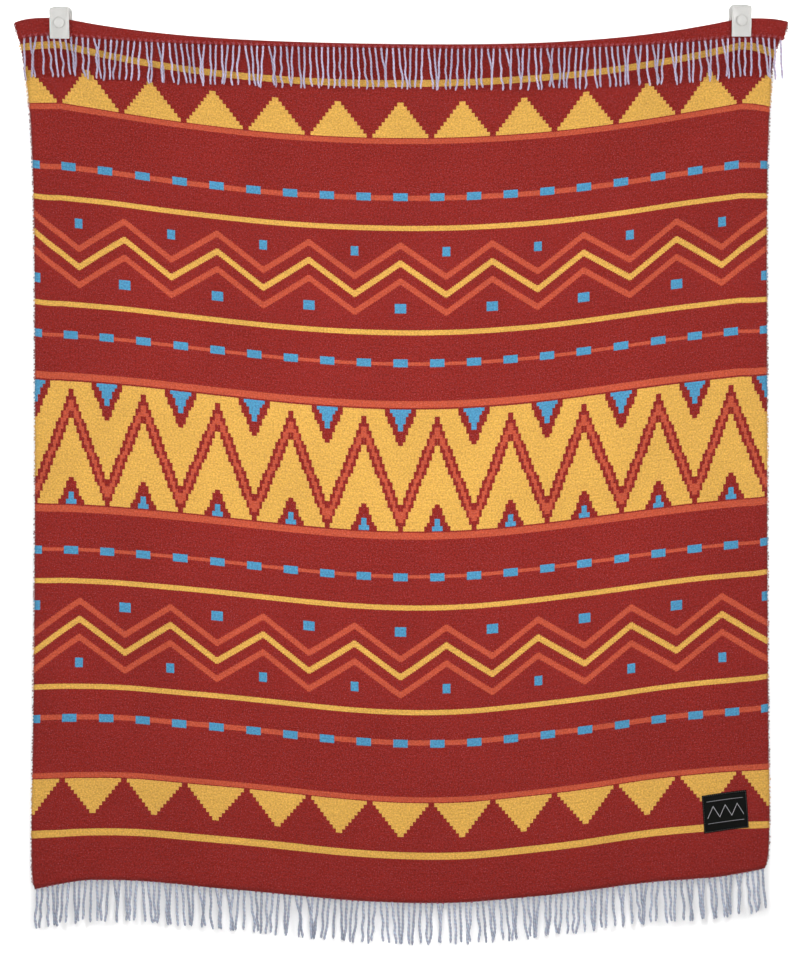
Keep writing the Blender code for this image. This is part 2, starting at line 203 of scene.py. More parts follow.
def gridMesh(name, points, uv):
    # A sheet of quads through a grid of points, with a UV map in metres of cloth.
    rows, columns = points.shape[:2]
    index = np.arange(rows * columns).reshape(rows, columns)
    quads = np.stack([index[:-1, :-1], index[:-1, 1:], index[1:, 1:], index[1:, :-1]], -1).reshape(-1, 4)
    mesh = bpy.data.meshes.new(name)
    mesh.from_pydata(points.reshape(-1, 3).tolist(), [], quads.tolist())
    layer = mesh.uv_layers.new(name="clothMetres")
    layer.data.foreach_set("uv", uv.reshape(-1, 2)[quads.ravel()].astype(np.float32).ravel())
    mesh.shade_smooth()
    obj = bpy.data.objects.new(name, mesh)
    bpy.context.scene.collection.objects.link(obj)
    return obj


def tubes(name, points, radius, sides, tone, lobe=0.0, turn=None, uv=None):
    # Many yarns in one mesh. points has a row of places for each; turn twists the two-ply section.
    count, steps = points.shape[:2]
    ahead = np.gradient(points, axis=1)
    ahead /= np.linalg.norm(ahead, axis=2, keepdims=True)
    side = np.cross(ahead, (0.0, 1.0, 0.0))
    side /= np.linalg.norm(side, axis=2, keepdims=True)
    out = np.cross(side, ahead)
    angle = np.arange(sides) * 2 * math.pi / sides
    section = 1 - lobe * (1 - np.abs(np.cos(angle)))
    spin = angle + (0 if turn is None else turn[..., None])
    reach = (radius[..., None] * section)[..., None]
    ring = points[:, :, None] + reach * (np.cos(spin)[..., None] * side[:, :, None]
                                         + np.sin(spin)[..., None] * out[:, :, None])
    index = np.arange(count * steps * sides).reshape(count, steps, sides)
    nextSide = np.roll(index, -1, axis=2)
    quads = np.stack([index[:, :-1], index[:, 1:], nextSide[:, 1:], nextSide[:, :-1]], -1).reshape(-1, 4)
    caps = [row[::-1].tolist() for row in index[:, -1]] + [row.tolist() for row in index[:, 0]]
    mesh = bpy.data.meshes.new(name)
    mesh.from_pydata(ring.reshape(-1, 3).tolist(), [], quads.tolist() + caps)
    if uv is None:
        length = np.cumsum(np.linalg.norm(np.diff(points, axis=1, prepend=points[:, :1]), axis=2), axis=1)
        uv = np.stack(np.broadcast_arrays(angle / (2 * math.pi), length[..., None]), -1)
    else:
        uv = np.broadcast_to(uv[:, None, None], (count, steps, sides, 2))
    loops = np.empty(len(mesh.loops), np.int32)
    mesh.loops.foreach_get("vertex_index", loops)
    layer = mesh.uv_layers.new(name="clothMetres")
    layer.data.foreach_set("uv", uv.reshape(-1, 2)[loops].astype(np.float32).ravel())
    shade = mesh.attributes.new("tone", "FLOAT", "POINT")
    shade.data.foreach_set("value", np.repeat(tone, steps * sides).astype(np.float32))
    mesh.shade_smooth()
    obj = bpy.data.objects.new(name, mesh)
    bpy.context.scene.collection.objects.link(obj)
    return obj


# Each finish as the share of red, green and blue light that it sends back, on the usual 0 to 255 scale.
palette = {
    "red": (121, 31, 25),
    "gold": (195, 151, 70),
    "coral": (168, 72, 48),
    "blue": (66, 130, 164),
    "warp": (160, 118, 134),
    "topYarnBlue": (180, 176, 200),
    "topYarnPink": (190, 172, 194),
    "bottomYarnBlue": (166, 177, 195),
    "bottomYarnPink": (178, 177, 192),
    "rootYarn": (172, 84, 92),
    "labelBlack": (10, 11, 10),
    "labelGrey": (170, 168, 174),
    "threadDark": (48, 46, 46),
    "threadPale": (89, 85, 85),
    "plastic": (195, 194, 191),
}


def linear(name, brighter=1.0):
    parts = [c / 255 for c in palette[name]]
    parts = [c / 12.92 if c <= 0.04045 else ((c + 0.055) / 1.055) ** 2.4 for c in parts]
    return (*(part * brighter for part in parts), 1.0)


class Sums:
    # Writes arithmetic into a node tree as Math nodes.
    def __init__(self, tree):
        self.tree = tree

    def link(self, value, socket):
        if isinstance(value, bpy.types.NodeSocket):
            self.tree.links.new(value, socket)
        else:
            socket.default_value = value

    def do(self, kind, *values):
        node = self.tree.nodes.new("ShaderNodeMath")
        node.operation = kind
        for value, socket in zip(values, node.inputs):
            self.link(value, socket)
        return node.outputs[0]

    def add(self, a, b):
        return self.do("ADD", a, b)

    def sub(self, a, b):
        return self.do("SUBTRACT", a, b)

    def mul(self, a, b):
        return self.do("MULTIPLY", a, b)

    def less(self, a, b):
        return self.do("LESS_THAN", a, b)

    def both(self, *masks):
        result = masks[0]
        for mask in masks[1:]:
            result = self.mul(result, mask)
        return result

    def between(self, value, low, high):
        return self.both(self.less(low, value), self.less(value, high))

    def near(self, value, middle, reach):
        return self.do("COMPARE", value, middle, reach)

    def mix(self, factor, a, b, blend="MIX"):
        node = self.tree.nodes.new("ShaderNodeMix")
        node.data_type = "RGBA"
        node.blend_type = blend
        self.link(factor, node.inputs[0])
        self.link(a, node.inputs[6])
        self.link(b, node.inputs[7])
        return node.outputs[2]

    def scaled(self, colour, value):
        node = self.tree.nodes.new("ShaderNodeVectorMath")
        node.operation = "SCALE"
        self.link(colour, node.inputs[0])
        self.link(value, node.inputs["Scale"])
        return node.outputs[0]

    def noise(self, vector, scale, detail=2.0, rough=0.5):
        node = self.tree.nodes.new("ShaderNodeTexNoise")
        node.inputs["Scale"].default_value = scale
        node.inputs["Detail"].default_value = detail
        node.inputs["Roughness"].default_value = rough
        self.link(vector, node.inputs["Vector"])
        return node.outputs["Fac"]

    def ranged(self, value, low, high, newLow, newHigh):
        node = self.tree.nodes.new("ShaderNodeMapRange")
        for socket, number in zip(node.inputs, (value, low, high, newLow, newHigh)):
            self.link(number, socket)
        return node.outputs["Result"]

    def vector(self, x, y, z=0.0):
        node = self.tree.nodes.new("ShaderNodeCombineXYZ")
        for value, socket in zip((x, y, z), node.inputs):
            self.link(value, socket)
        return node.outputs[0]

    def uv(self):
        node = self.tree.nodes.new("ShaderNodeUVMap")
        node.uv_map = "clothMetres"
        parts = self.tree.nodes.new("ShaderNodeSeparateXYZ")
        self.tree.links.new(node.outputs[0], parts.inputs[0])
        return node.outputs[0], parts.outputs[0], parts.outputs[1]

    def bump(self, shader, height, strength, distance):
        node = self.tree.nodes.new("ShaderNodeBump")
        node.inputs["Strength"].default_value = strength
        node.inputs["Distance"].default_value = distance
        self.link(height, node.inputs["Height"])
        self.tree.links.new(node.outputs[0], shader.inputs["Normal"])


def startMaterial(name, roughness, sheen=0.0, sheenRoughness=0.5, gloss=0.5):
    material = bpy.data.materials.new(name)
    material.use_nodes = True
    shader = material.node_tree.nodes["Principled BSDF"]
    shader.inputs["Roughness"].default_value = roughness
    shader.inputs["Specular IOR Level"].default_value = gloss
    shader.inputs["Sheen Weight"].default_value = sheen
    shader.inputs["Sheen Roughness"].default_value = sheenRoughness
    return material, shader, Sums(material.node_tree)


# The woven design: plain stripes, rows of stepped triangles, chevrons and small blocks, all in
# metres from the top hem and mirrored about the middle of the throw.
design = {
    "stripes": (
        (0.0, "red"), (0.0722, "gold"), (0.0832, "red"), (0.1700, "coral"), (0.1790, "red"),
        (0.2700, "coral"), (0.2765, "red"), (0.3220, "gold"), (0.3310, "red"), (0.5030, "gold"),
        (0.5120, "red"), (0.5570, "coral"), (0.5635, "red"), (0.6240, "coral"), (0.6350, "red"),
    ),
    "teeth": {"top": 0.104, "low": 0.170, "pitch": 1.27 / 12, "stepAcross": 0.0053, "stepDown": 0.0066},
    "chevrons": {"top": 0.352, "pitch": 1.27 / 8, "drop": 0.055, "gap": 0.031, "line": 0.0115,
                 "lines": 3, "stepAcross": 0.0033},
    "blocks": {"rows": (0.27325, 0.56025), "pitch": 1.27 / 20, "halfWidth": 0.0125, "halfHeight": 0.0068},
    "squares": {"topRow": 0.368, "lowRow": 0.466, "half": 0.0082},
    "peaks": {"top": 0.640, "low": 0.850, "height": 0.160, "pitch": 1.27 / 10, "stepAcross": 1 / 14,
              "stepDown": 0.0063, "lineHalf": 0.058, "heart": 0.062, "heartWidth": 0.42, "border": 0.2},
}
wool = {
    "roughness": 0.95,
    "sheen": 0.04,
    "gloss": 0.08,
    "ragged": 0.0017,       # how far the edges of the colours stray
    "raggedScale": (620, 540),
    "fleckScale": 560,
    "fleck": 0.40,          # how much of the pale warp shows in a fleck
    "streakScale": (24, 420),
    "streak": (0.93, 1.07),
    "patchScale": 7,
    "patch": (0.95, 1.05),
    "pileScale": 330,
    "pile": (0.71, 1.27),
    "pickPitch": 0.0024,
    "pickSlant": 0.35,
    "pileHeight": 1.4,
    "pickHeight": 0.16,
    "bump": (0.55, 0.0007),
}


def clothMaterial(name, reverse):
    material, shader, s = startMaterial(name, wool["roughness"], wool["sheen"], gloss=wool["gloss"])
    uv, across, along = s.uv()
    half = cloth["length"] / 2
    fine = s.noise(uv, wool["raggedScale"][0], 1.0)
    u = s.add(across, s.mul(s.sub(fine, 0.5), wool["ragged"]))
    fine = s.noise(s.vector(along, across), wool["raggedScale"][1], 1.0)
    v = s.add(along, s.mul(s.sub(fine, 0.5), wool["ragged"]))
    fromEnd = s.sub(half, s.do("ABSOLUTE", s.sub(v, half)))

    ramp = s.tree.nodes.new("ShaderNodeValToRGB")
    ramp.color_ramp.interpolation = "CONSTANT"
    s.link(s.mul(fromEnd, 1 / half), ramp.inputs[0])
    stops = ramp.color_ramp.elements
    while len(stops) < len(design["stripes"]):
        stops.new(1.0)
    for stop, (place, colour) in zip(stops, design["stripes"]):
        stop.position = place / half
        stop.color = linear(colour)
    colour = ramp.outputs[0]

    def paint(colour, mask, zone, ink):
        # On the reverse the ink and the ground change places.
        if reverse:
            return s.mix(zone, colour, s.mix(mask, linear(ink), linear("red")))
        return s.mix(s.both(mask, zone), colour, linear(ink))

    teeth = design["teeth"]
    zig = s.do("SNAP", s.do("PINGPONG", u, teeth["pitch"] / 2), teeth["stepAcross"])
    rise = s.do("SNAP", s.sub(fromEnd, teeth["top"]), teeth["stepDown"])
    slope = teeth["pitch"] / 2 / (teeth["low"] - teeth["top"])
    zone = s.between(fromEnd, teeth["top"], teeth["low"])
    colour = paint(colour, s.less(zig, s.mul(rise, slope)), zone, "gold")

    chevrons = design["chevrons"]
    zig = s.do("SNAP", s.do("PINGPONG", u, chevrons["pitch"] / 2), chevrons["stepAcross"])
    down = s.sub(s.sub(fromEnd, chevrons["top"]), s.mul(zig, chevrons["drop"] / (chevrons["pitch"] / 2)))
    reach = chevrons["gap"] * chevrons["lines"]
    zone = s.between(down, 0.0, reach)
    lines = s.less(s.do("MODULO", s.add(down, reach), chevrons["gap"]), chevrons["line"])
    outer = s.do("GREATER_THAN", s.do("ABSOLUTE", s.sub(down, reach / 2)), chevrons["gap"] / 2)
    colour = paint(colour, lines, s.both(zone, outer), "coral")
    colour = paint(colour, lines, s.both(zone, s.sub(1.0, outer)), "gold")

    squares = design["squares"]
    tip = chevrons["pitch"] / 2
    top = s.both(s.near(zig, tip, squares["half"]), s.near(fromEnd, squares["topRow"], squares["half"]))
    low = s.both(s.less(zig, squares["half"]), s.near(fromEnd, squares["lowRow"], squares["half"]))
    colour = s.mix(s.do("MAXIMUM", top, low), colour, linear("blue"))

    blocks = design["blocks"]
    inWidth = s.less(s.do("PINGPONG", u, blocks["pitch"] / 2), blocks["halfWidth"])
    for row in blocks["rows"]:
        block = s.both(inWidth, s.near(fromEnd, row, blocks["halfHeight"]))
        colour = s.mix(block, colour, linear("blue"))

    peaks = design["peaks"]
    wave = s.mul(s.do("PINGPONG", u, peaks["pitch"] / 2), 2 / peaks["pitch"])
    wave = s.do("SNAP", s.add(wave, 0.001), peaks["stepAcross"])
    zone = s.between(v, peaks["top"], peaks["low"])
    stepped = s.do("SNAP", s.sub(v, peaks["top"]), peaks["stepDown"])
    fromTop = s.mul(stepped, 1 / peaks["height"])
    fromLow = s.sub((peaks["low"] - peaks["top"]) / peaks["height"], fromTop)
    upper = s.less(wave, s.sub(1.0, fromTop))
    lower = s.less(s.sub(1.0, wave), s.sub(1.0, fromLow))
    colour = paint(colour, s.do("MAXIMUM", upper, lower), zone, "gold")
    middle = s.sub(0.5 + (peaks["low"] - peaks["top"]) / 2 / peaks["height"], fromTop)
    colour = s.mix(s.both(zone, s.near(wave, middle, peaks["lineHalf"])), colour, linear("coral"))
    for edge, place in ((fromTop, wave), (fromLow, s.sub(1.0, wave))):
        narrowing = peaks["height"] / peaks["heart"] * peaks["heartWidth"]
        heart = s.sub(peaks["heartWidth"], s.mul(edge, narrowing))
        colour = s.mix(s.both(zone, s.less(place, heart)), colour, linear("red"))
        inner = s.sub(heart, peaks["border"])
        colour = s.mix(s.both(zone, s.less(place, inner)), colour, linear("blue"))

    # Brushed wool: the pale warp shows through in flecks, and no two picks are quite the same shade.
    fleck = s.ranged(s.noise(uv, wool["fleckScale"], 2.0, 0.6), 0.56, 0.74, 0.0, wool["fleck"])
    colour = s.mix(fleck, colour, linear("warp"))
    streakAcross, streakAlong = wool["streakScale"]
    streak = s.noise(s.vector(s.mul(across, streakAcross), s.mul(along, streakAlong)), 1.0, 2.0)
    patch = s.noise(uv, wool["patchScale"], 3.0)
    pile = s.noise(uv, wool["pileScale"], 3.0, 0.7)
    value = s.mul(s.ranged(streak, 0.3, 0.7, *wool["streak"]), s.ranged(patch, 0.3, 0.7, *wool["patch"]))
    value = s.mul(value, s.ranged(pile, 0.35, 0.65, *wool["pile"]))
    s.link(s.scaled(colour, value), shader.inputs["Base Color"])
    slant = s.add(along, s.mul(across, wool["pickSlant"]))
    picks = s.do("SINE", s.mul(slant, 2 * math.pi / wool["pickPitch"]))
    height = s.add(s.mul(pile, wool["pileHeight"]), s.mul(picks, wool["pickHeight"]))
    s.bump(shader, height, *wool["bump"])
    return material


yarn = {
    "roughness": 0.92,
    "sheen": 0.05,
    "gloss": 0.12,
    "groove": (0.72, 1.0),      # painted shade: how bright it is in the groove and on top of a ply
    "fibre": (0.80, 1.14),
    "fibreScale": (9, 500, 160),
    "strand": (0.82, 1.10),     # from the darkest strand to the palest
    "bump": (0.5, 0.0004),
}


def yarnMaterial(name, firstPly, secondPly):
    # Two plies of slightly different yarn, with painted shade darkening the groove between them.
    material, shader, s = startMaterial(name, yarn["roughness"], yarn["sheen"], gloss=yarn["gloss"])
    uv, around, along = s.uv()
    tone = s.tree.nodes.new("ShaderNodeAttribute")
    tone.attribute_name = "tone"
    turn = s.do("COSINE", s.mul(around, 2 * math.pi))
    turns, twists, lengths = yarn["fibreScale"]
    slant = s.add(s.mul(around, turns), s.mul(along, twists))
    fibre = s.noise(s.vector(slant, s.mul(along, lengths)), 1.0, 3.0, 0.6)
    # Painted shade: the yarn's colour is darker in the groove where the two plies meet.
    groove = s.ranged(s.do("ABSOLUTE", turn), 0.0, 0.7, *yarn["groove"])
    value = s.mul(groove, s.ranged(fibre, 0.3, 0.7, *yarn["fibre"]))
    value = s.mul(value, s.ranged(tone.outputs["Fac"], 0.0, 1.0, *yarn["strand"]))
    ply = s.mix(s.ranged(turn, -0.15, 0.15, 0.0, 1.0), linear(firstPly), linear(secondPly))
    s.link(s.scaled(ply, value), shader.inputs["Base Color"])
    s.bump(shader, fibre, *yarn["bump"])
    return material


def plasticMaterial():
    material, shader, s = startMaterial("mouldedPlastic", 0.38)
    geometry = s.tree.nodes.new("ShaderNodeTexCoord").outputs["Object"]
    cloud = s.noise(geometry, 45, 4.0)
    grain = s.noise(geometry, 2600, 2.0)
    worn = s.mix(s.ranged(cloud, 0.35, 0.7, 0.0, 0.6), linear("plastic"), linear("plastic", brighter=0.86))
    s.link(worn, shader.inputs["Base Color"])
    s.link(s.ranged(s.noise(geometry, 160, 3.0), 0.3, 0.7, 0.32, 0.50), shader.inputs["Roughness"])
    s.bump(shader, grain, 0.12, 0.0002)
    return material


def labelMaterial(label):
    # Black satin tape with a plain woven zigzag between two thin rules.
    material, shader, s = startMaterial("labelTape", 0.75, gloss=0.06)
    uv, x, y = s.uv()
    ragged = s.mul(s.sub(s.noise(uv, 2400, 1.0), 0.5), label["ragged"])
    y = s.add(y, ragged)
    fromSide = s.sub(label["width"] / 2, s.do("ABSOLUTE", x))
    inside = s.less(label["inset"], fromSide)
    fromMiddle = s.do("ABSOLUTE", s.sub(y, label["middleY"]))
    rule = s.both(inside, s.near(fromMiddle, label["ruleAway"], label["line"] / 2))
    fromStart = s.add(x, label["zigs"] / 2 * label["zigPitch"])
    steep = label["zigHeight"] * 2 / label["zigPitch"]
    climb = s.mul(s.do("PINGPONG", fromStart, label["zigPitch"] / 2), steep)
    zig = s.both(inside, s.near(s.add(y, climb), label["zigY"], label["line"]))
    ink = s.do("MAXIMUM", zig, s.mul(rule, 0.6))
    pick = s.do("SINE", s.mul(y, 2 * math.pi / label["pickPitch"]))
    warp = s.do("SINE", s.mul(x, 2 * math.pi / label["warpPitch"]))
    # Painted sheen: random patches of the black tape are painted paler.
    shade = s.ranged(s.noise(uv, 1500, 2.0), 0.3, 0.7, 0.0, 1.0)
    paintedSheen = linear("labelBlack", brighter=1.7)
    ground = s.mix(shade, linear("labelBlack"), paintedSheen)
    s.link(s.mix(ink, ground, linear("labelGrey")), shader.inputs["Base Color"])
    s.bump(shader, s.add(s.mul(s.mul(pick, warp), 0.5), s.mul(ink, 0.8)), 0.35, 0.0002)
    return material


print("cloth")
frontCloth = clothMaterial("brushedWool", reverse=False)
backCloth = clothMaterial("brushedWoolReverse", reverse=True)


def makeCloth():
    # The columns lie a little closer together near the side edges.
    shares = np.linspace(-1, 1, cloth["columns"] + 1)
    shares = shares * (1 + cloth["crowding"]) - cloth["crowding"] * shares**3
    steps = []
    flapSteps = np.linspace(0, 1, cloth["flapRows"] + 1)[:-1]
    foldSteps = np.linspace(0, 1, cloth["foldRows"] + 1)[:-1]
    bodySteps = np.linspace(0, 1, cloth["bodyRows"] + 1)
    for share in shares:
        flap = float(flapDepth(share)) - cloth["foldRadius"]
        end = float(foldEnd(share))
        steps.append(np.concatenate([flap * flapSteps, flap + (end - flap) * foldSteps,
                                     end + (cloth["length"] - end) * bodySteps]))
    along = np.array(steps)
    share = np.repeat(shares[:, None], along.shape[1], axis=1)
    points = clothPoints(share, along)
    for place, t in zip(points.reshape(-1, 3), along.ravel()):
        soft = noise.noise(Vector((place[0] * 9, 0.7, place[2] * 3.5)))
        small = noise.noise(Vector((place[0] * 38, 4.2, place[2] * 22)))
        fade = min(1.0, max(0.0, t / 0.10 - 1))     # flat under the flap and its fringe
        place[1] += cloth["wrinkle"] * fade * (soft + 0.35 * small)
    uv = np.stack([share * cloth["width"] / 2 + cloth["width"] / 2, along], -1)
    obj = gridMesh("throw", points, uv)
    obj.data.materials.append(frontCloth)
    obj.data.materials.append(backCloth)
    solid = obj.modifiers.new("thickness", "SOLIDIFY")
    solid.thickness = cloth["thick"]
    solid.offset = 0
    solid.use_even_offset = True
    solid.material_offset = 1
    solid.material_offset_rim = 0
    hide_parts("cloth")
    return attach(obj, "root")


throw = makeCloth()

# Small weft loops that stand out along both side edges.
selvedge = {"pitch": 0.0048, "spread": 0.0018, "reach": (0.0006, 0.0034), "span": 0.0032,
            "margin": 0.004, "radius": 0.00068}


def makeSelvedge():
    chance = random.Random(21)
    lines, uvs = [], []
    for side in (-1, 1):
        place = selvedge["margin"]
        while place < cloth["length"] - selvedge["margin"]:
            ends = (place - selvedge["span"] / 2, place + selvedge["span"] / 2)
            edge = clothPoints([side, side], ends)
            reach = chance.uniform(*selvedge["reach"])
            outward = np.array([side * reach, chance.uniform(-0.3, 0.3) * reach, -0.3 * reach])
            t = np.linspace(0, 1, 6)[:, None]
            lines.append(edge[0] * (1 - t) + edge[1] * t + outward * np.sin(math.pi * t))
            uvs.append(((side + 1) * cloth["width"] / 2, place))
            place += selvedge["pitch"] + chance.uniform(-1, 1) * selvedge["spread"]
    points = np.array(lines)
    radius = np.full(points.shape[:2], selvedge["radius"])
    obj = tubes("selvedgeLoops", points, radius, 5, np.zeros(len(points)), uv=np.array(uvs))
    obj.data.materials.append(frontCloth)
    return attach(obj, "root")


loops = makeSelvedge()

print("fringes")
fringe = {
    "count": 130,
    "length": 0.0705,
    "lengthSpread": 0.0028,
    "radius": {"topFringe": 0.0022, "bottomFringe": 0.0027},
    "plyDepth": 0.34,       # how deep the groove between the two plies is
    "twistPitch": 0.0130,
    "samples": 72,
    "sides": 8,
    "wave": 0.0013,
    "lean": 0.0038,
    "leanKeep": 0.60,       # how far a strand leans as its neighbour does
    "drift": 0.0016,        # most strands of the top fringe lean this way
    "waveLength": (0.026, 0.060),
    "tipBend": 0.0022,
    "tuck": 0.0008,         # how far a strand starts inside the hem
    "clearance": 0.0008,
    "lift": 0.0016,         # how much further the lower ends of the top strands stand forward
    "pairs": 0.19,          # share of strands that hang against the next one
    "crossing": 0.40,       # share of those pairs that cross
    "turnAt": (0.55, 1.10), # how far down a pair meets, as a share of its length
    "taper": ((0, 0.03, 0.95, 1.0), (0.72, 1.0, 1.0, 0.62)),
    "thinning": 0.08,       # how much thinner or thicker a strand gets along its length
    "gather": (-0.0027, -0.0014, 0.0002, 0.0015, 0.0028),
    "gatherHeight": {"topFringe": (0.0018, 0.0056), "bottomFringe": (0.0004, 0.0016)},
    "gatherRadius": 0.00046,
}
topMargins = (0.0085, 0.0045)       # from each side edge to the first and last strand
bottomMargins = (0.0050, 0.0042)


def strandLeans(chance, pitch, thick):
    # How far each strand has moved sideways at its tip, how far forward, and where along it turns.
    leans, lean, partner = [], 0.0, None
    for i in range(fringe["count"]):
        if partner:
            leans.append(partner)
            partner = None
            continue
        lean = fringe["leanKeep"] * lean + chance.gauss(0, 1) * fringe["lean"]
        lean = max(-1.6 * fringe["lean"], min(1.6 * fringe["lean"], lean))
        turnAt = chance.uniform(*fringe["turnAt"])
        if chance.random() < fringe["pairs"] and i < fringe["count"] - 1:
            meet, forward = pitch / 2 - thick * 0.82, 0.0
            if chance.random() < fringe["crossing"]:
                meet = pitch / 2 + thick * chance.uniform(0.1, 0.8)
                forward = thick * 1.5
            share = chance.uniform(0.4, 0.8)
            leans.append((2 * meet * share, 0.0, turnAt))
            partner = (-2 * meet * (1 - share), forward, turnAt)
        else:
            leans.append((lean, 0.0, 1.0))
    return leans


def gatherThreads(chance, name, share, root, hem):
    # The warp threads of the hem that are drawn together into one strand.
    inward = 1 if hem == 0 else -1
    raised = np.array([0, -cloth["thick"] / 2, 0])
    threads = []
    for offset in fringe["gather"]:
        startShare = float(np.clip(share + offset / (cloth["width"] / 2), -0.998, 0.998))
        start = clothPoints(startShare, hem + inward * chance.uniform(*fringe["gatherHeight"][name]))
        foot = root + raised + np.array([offset * 0.35, -0.0002, 0.0])
        end = foot + np.array([0, 0, -0.0015])
        threads.append(np.array([start + raised, (start + foot + raised) / 2, foot, end]))
    return threads


def makeFringe(name, hem, margins, inFront, material, rootMaterial, node, seed):
    chance = random.Random(seed)
    half, thick = cloth["width"] / 2, fringe["radius"][name]
    shares = np.linspace(margins[0] / half - 1, 1 - margins[1] / half, fringe["count"])
    roots = clothPoints(shares, np.full(shares.shape, hem))
    pitch = (roots[-1][0] - roots[0][0]) / (fringe["count"] - 1)
    lines, twists, tones, ends = [], [], [], []
    for share, root, (lean, forward, turnAt) in zip(shares, roots, strandLeans(chance, pitch, thick)):
        length = fringe["length"] + chance.uniform(-1, 1) * fringe["lengthSpread"]
        down = np.linspace(-fringe["tuck"], length, fringe["samples"])
        part = np.clip(down / length, 0, 1)
        moved = smooth(part, -0.25, turnAt) - smooth(np.array(0.0), -0.25, turnAt)
        phase, waveLength = chance.uniform(0, 6.28), chance.uniform(*fringe["waveLength"])
        waves = down * 2 * math.pi / waveLength
        sway = fringe["wave"] * chance.uniform(0.3, 1.3) * np.sin(waves + phase)
        bend = chance.uniform(-1, 1) * fringe["tipBend"] * part**5
        bend = bend + (fringe["drift"] * part**1.5 if inFront else 0.0)
        x = root[0] + lean * moved / moved[-1] + (sway - sway[0]) * part**0.7 + bend
        z = root[2] - down
        depth = chance.uniform(-0.2, 0.8) * fringe["wave"] * np.sin(waves + phase * 1.7)
        hangY = root[1] - forward * smooth(part, 0.1, 0.6) + (depth - depth[0]) * part**0.6
        if inFront:
            # Clear of the cloth behind, which lies up to the fold's own depth back at the root.
            clear = bodyY(x, z) - cloth["thick"] / 2 - fringe["clearance"] - thick
            clear = clear - fringe["lift"] * smooth(down, 0.008, 0.030)
            clear = clear - forward * smooth(part, 0.1, 0.6)
            hangY = root[1] + (np.minimum(hangY, clear) - root[1]) * smooth(down, 0.0, 0.008)
        lines.append(np.stack([x, hangY, z], -1))
        twists.append(chance.uniform(0, 6.28) + down * 2 * math.pi / fringe["twistPitch"])
        tones.append(chance.random())
        ends += gatherThreads(chance, name, share, root, hem)
    points = np.array(lines)
    along = np.linspace(0, 1, fringe["samples"])
    shape = np.interp(along, *fringe["taper"])
    wobble = np.array([[1 - fringe["thinning"] * (1 - 2 * noise.noise(Vector((i * 3.1, a * 9, seed))))
                        for a in along] for i in range(len(points))])
    strands = tubes(name, points, thick * shape * wobble, fringe["sides"], np.array(tones),
                    fringe["plyDepth"], np.array(twists))
    strands.data.materials.append(material)
    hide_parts(node)
    gathered = np.array(ends)
    threads = tubes(name + "Roots", gathered, np.full(gathered.shape[:2], fringe["gatherRadius"]), 5,
                    np.zeros(len(gathered)))
    threads.data.materials.append(rootMaterial)
    return [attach(strands, "root"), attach(threads, "root")]


topYarn = yarnMaterial("twistedYarnTop", "topYarnBlue", "topYarnPink")
bottomYarn = yarnMaterial("twistedYarnBottom", "bottomYarnBlue", "bottomYarnPink")
rootYarn = yarnMaterial("rootYarn", "rootYarn", "rootYarn")
topFringe = makeFringe("topFringe", 0.0, topMargins, True, topYarn, rootYarn, "fringe_top", 3)
bottomFringe = makeFringe("bottomFringe", cloth["length"], bottomMargins, False, bottomYarn, rootYarn,
                          "fringe_bottom", 5)

print("label")
label = {
    "width": 0.078,
    "height": 0.0635,
    "thick": 0.0007,
    "across": 0.5577,
    "fromHem": 0.1036,
    "turn": math.radians(4),
    "cells": 36,
    "inset": 0.0075,
    "line": 0.0008,
    "zigY": 0.0080,
    "zigs": 3,
    "zigPitch": 0.0210,
    "zigHeight": 0.0190,
    "middleY": -0.0015,
    "ruleAway": 0.0185,
    "ragged": 0.0005,
    "pickPitch": 0.00055,
    "warpPitch": 0.0009,
    "gap": 0.0004,          # between the label and the cloth
    "puff": 0.0005,
    "stitchInset": 0.0016,
    "stitchPitch": 0.0033,
    "stitchShare": 0.66,    # of the pitch, the rest is the gap to the next stitch
    "stitchRise": 0.0003,
    "stitchSunk": 0.0001,
    "threadRadius": 0.00028,
    "threadTwist": 0.0006,
}


def onLabel(x, y, lift=0.0):
    # A place on the label, x and y metres from its middle, y downwards.
    level, turned = math.cos(label["turn"]), math.sin(label["turn"])
    x, y = x * level + y * turned, y * level - x * turned
    share = (label["across"] + x) / (cloth["width"] / 2)
    place = clothPoints(share, cloth["length"] - label["fromHem"] + y)
    rise = cloth["thick"] / 2 + label["gap"] + label["thick"] / 2 + lift
    return place - np.array([0, 1.0, 0]) * np.asarray(rise)[..., None]


def makeLabel():
    steps = np.linspace(-0.5, 0.5, label["cells"] + 1)
    x, y = np.meshgrid(steps * label["width"], steps * label["height"], indexing="ij")
    edge = np.minimum(0.5 - np.abs(x / label["width"]), 0.5 - np.abs(y / label["height"]))
    puff = label["puff"] * smooth(edge, 0.03, 0.16)
    obj = gridMesh("sewnLabel", onLabel(x, y, puff), np.stack([x, y], -1))
    obj.data.materials.append(labelMaterial(label))
    solid = obj.modifiers.new("thickness", "SOLIDIFY")
    solid.thickness = label["thick"]
    solid.offset = 0
    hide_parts("label")
    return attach(obj, "root")


